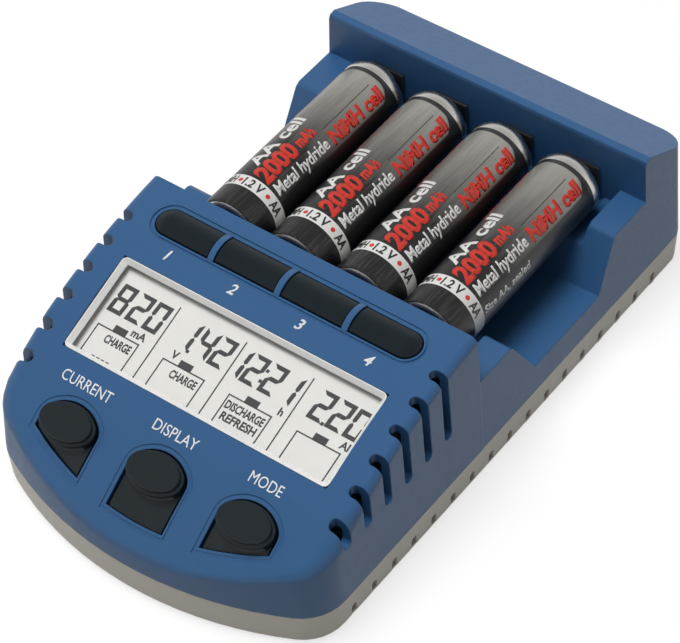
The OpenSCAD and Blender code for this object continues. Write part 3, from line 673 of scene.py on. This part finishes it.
PANEL_BEVEL = 0.1
DIGIT_W = 3.35
DIGIT_H = 6.15
DIGIT_LOW = 0.12
DIGIT_SLANT = 0.07
STROKE = 0.86
SEGMENT_GAP = 0.01
# The segments of each figure that is shown
SEGMENTS = {"0": "abcdef", "1": "bc", "2": "abged", "4": "fgbc", "8": "abcdefg"}
# Each reading is a row of figures with the places of their left edges
READINGS = (
    ((-28.6, "8"), (-24.4, "2"), (-20.4, "0")),
    ((-13.0, "1"), (-8.9, "4"), (-5.1, "2")),
    ((-1.4, "1"), (2.35, "2"), (6.55, "2"), (10.4, "1")),
    ((17.75, "2"), (21.8, "2"), (25.7, "0")))
# The readings' points, their half width and how far their tops lean
POINTS = ((-9.45, 0.35), (21.35, 0.35), (6.30, 1.9), (6.45, 4.2))
POINT_HALF = 0.33
POINT_LEAN = 0.03
# The units' middles, and the icons' words with the places of their right ends and their widths
UNITS = (("mA", -19.6, -2.1), ("V", -11.1, -2.05), ("h", 13.3, -2.05), ("Ah", 27.9, -2.05))
UNIT_H = 1.5
UNIT_BOLD = 0.03
ICON_WORDS = (
    ("CHARGE", -19.3, -5.5, 6.0), ("CHARGE", -3.9, -5.5, 6.0),
    ("DISCHARGE", 11.7, -5.5, 8.6), ("REFRESH", 11.4, -7.8, 7.9))
ICON_WORD_H = 1.55
ICON_WORD_BOLD = 0.035
# The icons: the first one's left edge, and the outline and dark cap of each
ICON_FIRST = -28.15
ICON_W = 9.6
ICON_TOP = -2.95
ICON_LOW = -9.75
ICON_R = 1.2
ICON_STEPS = 5
ICON_CAP_FROM = 3.3
ICON_CAP_TO = 6.25
ICON_CAP_H = 1.4
# The lines between the columns, and the dashes in the first icon
LINE = 0.28
DIVIDER_FIRST = -15.75
DIVIDER_TOP = 7.0
DIVIDER_LOW = -10.1
DIVIDER_LEAN = 0.05
DASH_FIRST = -25.4
DASH_W = 0.45
DASH_PITCH = 1.1
DASH_V = -8.8
# What is drawn on the panel lies between these levels over its face
MARK_LOW = 0.002
MARK_HIGH = 0.03
# The window, its lens and the rim round it
WINDOW_W = 60.8
WINDOW_D = 20.6
LENS_DROP = 1.48
RIM_DROP = 0.45
RIM_TOP_W = 0.16
RIM_W = 1.0
RIM_GAP = 0.08
RIM_CORNER = 1.1


def segment(kind):
    """Outline of one of the seven segments of a figure, before its slant."""
    t, g, w, h = STROKE, SEGMENT_GAP, DIGIT_W, DIGIT_H
    half = h / 2
    if kind == "a":
        return [(g, h), (w - g, h), (w - t - g, h - t), (t + g, h - t)]
    if kind == "d":
        return [(g, 0), (t + g, t), (w - t - g, t), (w - g, 0)]
    if kind == "g":
        return [(t / 2 + g, half), (t + g, half + t / 2), (w - t - g, half + t / 2),
                (w - t / 2 - g, half), (w - t - g, half - t / 2), (t + g, half - t / 2)]
    if kind == "f":
        return [(0, h - g), (t, h - t - g), (t, half + t / 2 + g), (t / 2, half + g), (0, half + t / 2)]
    if kind == "b":
        return [(w, h - g), (w, half + t / 2), (w - t / 2, half + g),
                (w - t, half + t / 2 + g), (w - t, h - t - g)]
    if kind == "e":
        return [(0, g), (0, half - t / 2), (t / 2, half - g), (t, half - t / 2 - g), (t, t + g)]
    return [(w, g), (w - t, t + g), (w - t, half - t / 2 - g), (w - t / 2, half - g), (w, half - t / 2)]


def stroke_line(points, width):
    """Outlines of the straight pieces of a line."""
    made = []
    for (ua, va), (ub, vb) in zip(points, points[1:]):
        run = Vector((ub - ua, vb - va)).normalized() * width / 2
        du, dv = -run.y, run.x
        made.append([(ua - run.x + du, va - run.y + dv), (ua - run.x - du, va - run.y - dv),
                     (ub + run.x - du, vb + run.y - dv), (ub + run.x + du, vb + run.y + dv)])
    return made


def icon_outlines(left):
    """A cell seen from the side: a dark cap, and the can's outline with round lower corners."""
    right = left + ICON_W
    cap_left = left + ICON_CAP_FROM
    cap_right = left + ICON_CAP_TO
    cap_top = ICON_TOP + ICON_CAP_H
    cap = [(cap_left, ICON_TOP), (cap_right, ICON_TOP), (cap_right, cap_top), (cap_left, cap_top)]
    r = ICON_R
    path = [(left, ICON_TOP)] + corner(left + r, ICON_LOW + r, r, 180, 270, ICON_STEPS)
    path += corner(right - r, ICON_LOW + r, r, 270, 360, ICON_STEPS)
    path += [(right, ICON_TOP), (left, ICON_TOP)]
    return [cap] + stroke_line(path, LINE)


def window_rim():
    """The window's pale rim, a closed ring with round corners that slopes down to the lens."""
    half_u = WINDOW_W / 2 - RIM_GAP
    half_v = WINDOW_D / 2 - RIM_GAP
    u, v = half_u - RIM_CORNER, half_v - RIM_CORNER
    bm = bmesh.new()
    loops = []
    for inset, level in ((0, LENS_DROP), (0, RIM_DROP), (RIM_TOP_W, RIM_DROP), (RIM_W, LENS_DROP)):
        r = RIM_CORNER - inset
        path = corner(u, v, r, 0, 90, ARC_STEPS) + corner(-u, v, r, 90, 180, ARC_STEPS)
        path += corner(-u, -v, r, 180, 270, ARC_STEPS) + corner(u, -v, r, 270, 360, ARC_STEPS)
        loops.append([bm.verts.new(tilted(DISPLAY_TILT, a, b, -level)) for a, b in path])
    for a, b in zip(loops, loops[1:] + loops[:1]):
        for k in range(len(a)):
            n = (k + 1) % len(a)
            bm.faces.new((a[k], a[n], b[n], b[k]))
    bmesh.ops.recalc_face_normals(bm, faces=bm.faces)
    return bm


def display():
    """The panel with its figures, lines, icons and words, all on its face, and the window over it."""
    softened("lcd_panel", "display_panel", display_grey(), PANEL_BEVEL)
    mark = printed("display_mark", LCD_MARK, 0.4)
    bm = bmesh.new()
    parts = [bm]

    def place(u, v, w):
        return tilted(DISPLAY_TILT, u, v, w - PANEL_DROP)

    def draw(outline):
        area = sum(a[0] * b[1] - b[0] * a[1] for a, b in zip(outline, outline[1:] + outline[:1]))
        prism(bm, outline if area > 0 else outline[::-1], place, MARK_LOW, MARK_HIGH)

    def write(letters, u, v):
        parts.append(placed(letters, lambda x, y, z: place(u + x, v + y, z + MARK_LOW)))

    for reading in READINGS:
        for left, figure in reading:
            for kind in SEGMENTS[figure]:
                draw([(left + u + DIGIT_SLANT * v, DIGIT_LOW + v) for u, v in segment(kind)])
    h = POINT_HALF
    for u, v in POINTS:
        draw([(u - h, v - h), (u + h, v - h), (u + h + POINT_LEAN, v + h), (u - h + POINT_LEAN, v + h)])
    for i in range(3):
        u = DIVIDER_FIRST + i * CELL_PITCH
        for outline in stroke_line([(u, DIVIDER_TOP), (u + DIVIDER_LEAN, DIVIDER_LOW)], LINE):
            draw(outline)
    for i in range(4):
        for outline in icon_outlines(ICON_FIRST + i * CELL_PITCH):
            draw(outline)
    for i in range(4):
        u = DASH_FIRST + i * DASH_PITCH
        for outline in stroke_line([(u, DASH_V), (u + DASH_W, DASH_V)], LINE):
            draw(outline)
    for words, u, v in UNITS:
        write(lettering(words, UNIT_H, bold=UNIT_BOLD, centre=(0.5, 0)), u, v)
    for words, right, v, width in ICON_WORDS:
        write(lettering(words, ICON_WORD_H, width, bold=ICON_WORD_BOLD, centre=(1, 0)), right, v)
    add_piece("display_marks", joined(parts), [mark], smooth=False)
    rim = moulded("window_rim", RIM_GREY, 0.3)
    add_piece("display_rim", window_rim(), [rim])
    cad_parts["display_lens"].data.materials.clear()
    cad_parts["display_lens"].data.materials.append(clear_plastic())


# The housing, its print and its keys

# The shells' edges are rounded in the shading by the first of these. The bevel of the second is too
# fine to show, and keeps the shading even between a vent and the window's corner
SHELL_ROUNDING = 0.3
SHELL_BEVEL = 0.2
# The key labels: words, middle, place behind the crown's top line, and width
KEY_LABELS = (("CURRENT", -21.4, -53.2, 11.5), ("DISPLAY", -0.65, -53.2, 9.9), ("MODE", 19.9, -53.1, 7.2))
KEY_LABEL_H = 2.15
# The numbers in front of the slot keys
NUMBER_H = 2.2
NUMBER_BOLD = 0.02
NUMBER_S = -24.2
NUMBER_SLANT = 0.18
# The ink's height over the crown, and the width of the strips that bend with it
INK_LIFT = 0.005
INK_STRIP = 0.5
# A round key's cap and a slot key are rounded where they lie higher than these levels over the crown
CAP_EDGES = -2.0
CAP_BEVEL = 0.3
BAR_EDGES = 0.1
BAR_BEVEL = 0.22


def housing():
    """Both shells. The source has their fillets, and the material softens the edges that are left."""
    blue = moulded("blue_plastic", BLUE, 0.46, rounding_mm=SHELL_ROUNDING)
    beige = moulded("beige_plastic", BEIGE, 0.5, rounding_mm=SHELL_ROUNDING)
    softened("upper_shell", "upper_housing", blue, SHELL_BEVEL)
    softened("base_shell", "base_housing", beige, SHELL_BEVEL)


def base_slots():
    """What shows in the base's side slots: a dark sheet at the back of each, painted shade for the dark
    inside of a slot that goes through, and the sill that closes each of them below.
    """
    bm = bmesh.new()
    r = BASE_SLOT_R
    for side in (-1, 1):
        def place(y, z, depth, side=side):
            return Vector((side * (BODY_HALF_W - depth), y, BASE_LOW + z)) * MM

        for i in range(BASE_SLOT_COUNT):
            y = BASE_SLOT_FIRST - i * BASE_SLOT_PITCH
            arch = [(y - r, SILL_H), (y + r, SILL_H)]
            arch += corner(y, BASE_SLOT_TOP - r, r, 0, 180, ARC_STEPS)
            sill = [(y - r, 0), (y + r, 0), (y + r, SILL_H), (y - r, SILL_H)]
            # The arch at the slot's back is a thin sheet of painted shade
            prism(bm, arch, place, BASE_SLOT_BACK, BASE_SLOT_BACK - SHADE_SHEET, 1)
            prism(bm, sill, place, BASE_SLOT_BACK, SILL_FACE)
    bmesh.ops.recalc_face_normals(bm, faces=bm.faces)
    beige = moulded("base_sill", BEIGE, 0.5)
    dark = moulded("slot_painted_shade", SLOT_PAINTED_SHADE, 0.7)
    add_piece("base_slots", bm, [beige, dark], smooth=False)


def console_print():
    """The key labels and the numbers of the slot keys, as a thin layer of ink on the crown."""
    ink = printed("white_ink", INK)
    parts = []

    def write(letters, u, s, slant=0.0):
        def place(x, y, z):
            return on_crown(u + x + slant * y, s + y, z + INK_LIFT)

        parts.append(placed(letters, place, INK_STRIP))

    for words, u, s, width in KEY_LABELS:
        write(lettering(words, KEY_LABEL_H, width), u, s)
    for i, x0 in enumerate(CELL_X):
        write(lettering(str(i + 1), NUMBER_H, bold=NUMBER_BOLD), x0, NUMBER_S, NUMBER_SLANT)
    add_piece("console_print", joined(parts), [ink], smooth=False)


def above(tilt, level):
    """Weighs only the edges that lie higher than a level over the plane that touches the crown at a tilt."""
    t = math.radians(tilt)
    normal = Vector((0, -math.sin(t), math.cos(t)))

    def weight(edge):
        middle = (edge.verts[0].co + edge.verts[1].co) / 2 / MM
        height = (middle - Vector((0, CROWN_Y, CROWN_Z))).dot(normal) - CROWN_R
        return 1.0 if height > level else 0.0

    return weight


def keys():
    """The three round keys and the four slot keys."""
    caps = charcoal("charcoal_plastic", 0.34)
    bars = charcoal("bar_charcoal", 0.2)
    for node in ("current_key", "display_key", "mode_key"):
        softened(node, node + "_cap", caps, CAP_BEVEL, body=node, segments=3,
                 weigh=above(DISPLAY_TILT, CAP_EDGES))
    for i in range(1, 5):
        node = f"slot_key_{i}"
        softened(node, node + "_bar", bars, BAR_BEVEL, body=node,
                 weigh=above(SLOT_TILT, BAR_EDGES))


# The cells

# Radius and place along the cell of its outline, from the flat end to the button
CAN_FLAT = ((0, 0.0), (5.2, 0.0), (5.9, 0.10), (6.35, 0.35), (6.62, 0.75))
SLEEVE = ((6.72, 0.55), (6.9, 0.75), (7.0, 1.2), (7.0, 44.35), (6.95, 44.55), (6.84, 44.65), (6.84, 45.55))
CAN_RIM = (
    (6.88, 45.6), (6.97, 45.75), (6.97, 46.7), (6.86, 47.25), (6.6, 47.8), (6.1, 48.25), (5.6, 48.45),
    (5.1, 48.3), (4.8, 48.0), (3.2, 47.95), (2.85, 48.1), (2.75, 48.5), (2.75, 49.55), (2.6, 49.85),
    (2.3, 50.0), (0, 50.0))
# The inks' places in the label's materials, and how bold each is printed
WHITE = 0
RED = 1
DARK = 2
BOLD = (0.028, 0.05, 0.03)
# The label's rows: words, the row's middle round the cell, its start along Y, height, width and ink
LABEL_ROWS = (
    ("AA cell", -3.3, 9.2, 3.3, 15.6, WHITE), ("2000", 0.9, 6.6, 3.9, 10.6, RED),
    ("mAh", 1.1, 17.9, 2.4, 5.0, RED), ("Metal hydride", 5.0, 6.9, 2.5, 16.2, WHITE),
    ("NiMH cell", 5.1, 24.2, 2.9, 16.2, RED), ("NiMH cell", -8.0, 24.2, 2.6, 15.0, RED),
    ("Size AA, sealed", 9.3, 6.6, 1.5, 14.6, WHITE))
LABEL_SLANT = 0.10
LABEL_STRIP = 0.4
LABEL_THICK = 0.02
LABEL_LIFT = 0.004
# A fine dark line on the silver field: its place round the cell, start along Y, length and half width
FINE_LINE_S = 2.55
FINE_LINE_Y = 24.5
FINE_LINE_LONG = 15
FINE_LINE_HALF = 0.07
# The white ring round the cell, from low to high along Y, its half thickness, and the level of its print
RING_LOW = 3.0
RING_HIGH = 6.0
RING_HALF = 0.012
RING_LIFT = 0.02
# Its words, with their middle round the cell and width, and its red dots
RING_WORDS = (("AA", 7.3, 3.0), ("1.2 V", 1.0, 4.6), ("NiMH", -5.4, 4.6))
RING_WORD_H = 1.95
RING_DOTS = (4.6, -2.1)
DOT_R = 0.5
DOT_TOP = 0.035


def cell_can(i, steel, sleeve):
    """A cell's can and its sleeve, turned from their outline."""
    sleeve_from = len(CAN_FLAT) - 1
    sleeve_to = sleeve_from + len(SLEEVE)

    def place(x, z, y):
        return Vector((CELL_X[i] + x, CELL_Y + y, CELL_Z + z)) * MM

    can = lathe(CAN_FLAT + SLEEVE + CAN_RIM, place, lambda k: 1 if sleeve_from <= k < sleeve_to else 0)
    made = add_piece(f"cell_{i + 1}_can", can, [steel, sleeve])
    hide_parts(f"cell_{i + 1}")


def cell_label(i, inks):
    """A cell's words, which run along it, and the fine line."""
    parts = []
    indices = []
    # The last row, in small print, is left off all but the right-hand cell, as painted shade: it keeps the
    # other cells' right sides dark where shade falls between the cells
    for words, s, y, height, width, ink in LABEL_ROWS if i == 3 else LABEL_ROWS[:-1]:
        def place(x, v, w, s=s, y=y):
            return on_cell(i, s - v, y + x + LABEL_SLANT * v, w + LABEL_LIFT)

        letters = lettering(words, height, width, BOLD[ink], LABEL_THICK, centre=(0, 0.5))
        parts.append(placed(letters, place, LABEL_STRIP))
        indices.append(ink)
    line = bmesh.new()
    half = FINE_LINE_HALF
    prism(line, [(0, -half), (FINE_LINE_LONG, -half), (FINE_LINE_LONG, half), (0, half)],
          lambda x, v, w: on_cell(i, FINE_LINE_S - v, FINE_LINE_Y + x, w), LABEL_LIFT, LABEL_THICK)
    parts.append(line)
    indices.append(DARK)
    add_piece(f"cell_{i + 1}_label", joined(parts, indices), inks, smooth=False)


def cell_ring(i, inks):
    """The white ring near a cell's flat end, with the words and dots that run round the cell."""
    parts = [band(i)]
    indices = [WHITE]
    middle = (RING_LOW + RING_HIGH) / 2

    def place(s, base):
        return lambda x, v, w: on_cell(i, s + x, middle + v, w + base)

    for words, s, width in RING_WORDS:
        letters = lettering(words, RING_WORD_H, width, BOLD[DARK], LABEL_THICK)
        parts.append(placed(letters, place(s, RING_LIFT)))
        indices.append(DARK)
    for s in RING_DOTS:
        dot = bmesh.new()
        angles = [math.radians(a) for a in range(0, 360, 20)]
        outline = [(DOT_R * math.cos(a), DOT_R * math.sin(a)) for a in angles]
        prism(dot, outline, place(s, 0), RING_LIFT, DOT_TOP)
        parts.append(dot)
        indices.append(RED)
    add_piece(f"cell_{i + 1}_ring", joined(parts, indices), inks)


def band(index):
    """A thin closed ring round a cell."""
    bm = bmesh.new()
    half = RING_HALF
    section = ((RING_LOW, -half), (RING_LOW, half), (RING_HIGH, half), (RING_HIGH, -half))
    loops = []
    for k in range(LATHE_STEPS):
        s = 2 * math.pi * CELL_R * k / LATHE_STEPS
        loops.append([bm.verts.new(on_cell(index, s, y, w)) for y, w in section])
    for a, b in zip(loops, loops[1:] + loops[:1]):
        for j in range(4):
            n = (j + 1) % 4
            bm.faces.new((a[j], b[j], b[n], a[n]))
    bmesh.ops.recalc_face_normals(bm, faces=bm.faces)
    return bm


def cells():
    """The four cells, each with its can, its label and its ring."""
    steel = metal("cell_steel", STEEL, 0.3)
    sleeve = cell_sleeve()
    inks = [
        printed("label_white", LABEL_WHITE, 0.4), printed("label_red", LABEL_RED, 0.4),
        printed("label_dark", SLEEVE_DARK, 0.4)]
    for i in range(4):
        cell_can(i, steel, sleeve)
        cell_label(i, inks)
        cell_ring(i, inks)


# Everything else keeps its CAD shape

CONTACT_BEVEL = 0.12


def plain_nodes():
    """The contacts, the springs and what is inside or underneath."""
    nickel = metal("contact_metal", NICKEL, 0.28)
    shade_darkened_nickel = metal("button_contact_shaded_metal", SHADE_DARKENED_NICKEL, 0.5)
    zinc = metal("zinc_steel", ZINC, 0.35)
    black = moulded("black_plastic", BLACK, 0.4)
    rubber = moulded("foot_rubber", RUBBER, 0.8)
    grey_rubber = moulded("conductive_rubber", GREY_RUBBER, 0.7)
    cable = moulded("cable_grey", CABLE_GREY, 0.5)
    board = circuit_board()
    for i in range(1, 5):
        softened(f"sliding_contact_{i}", f"blade_{i}", nickel, CONTACT_BEVEL,
                 body=f"sliding_contact_{i}")
        # The button plates' darker nickel is painted shade where they sit behind the cells' ends
        softened(f"button_contact_{i}", f"button_plate_{i}", shade_darkened_nickel, CONTACT_BEVEL)
        spring = softened(f"contact_spring_{i}", f"spring_{i}", zinc)
        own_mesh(spring)
    finishes = {
        "lcd_frame": black, "contact_strips": grey_rubber, "display_board": board, "main_board": board,
        "round_key_switches": black, "slot_key_switches": black, "power_socket": black, "capacitors": black,
        "charge_transistors": black, "board_cable": cable, "housing_screws": zinc, "board_screws": zinc,
        "display_screws": zinc, "rubber_feet": rubber}
    for node, material in finishes.items():
        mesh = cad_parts[node].data
        mesh.materials.clear()
        mesh.materials.append(material)


camera()
studio()
housing()
base_slots()
console_print()
display()
keys()
cells()
plain_nodes()
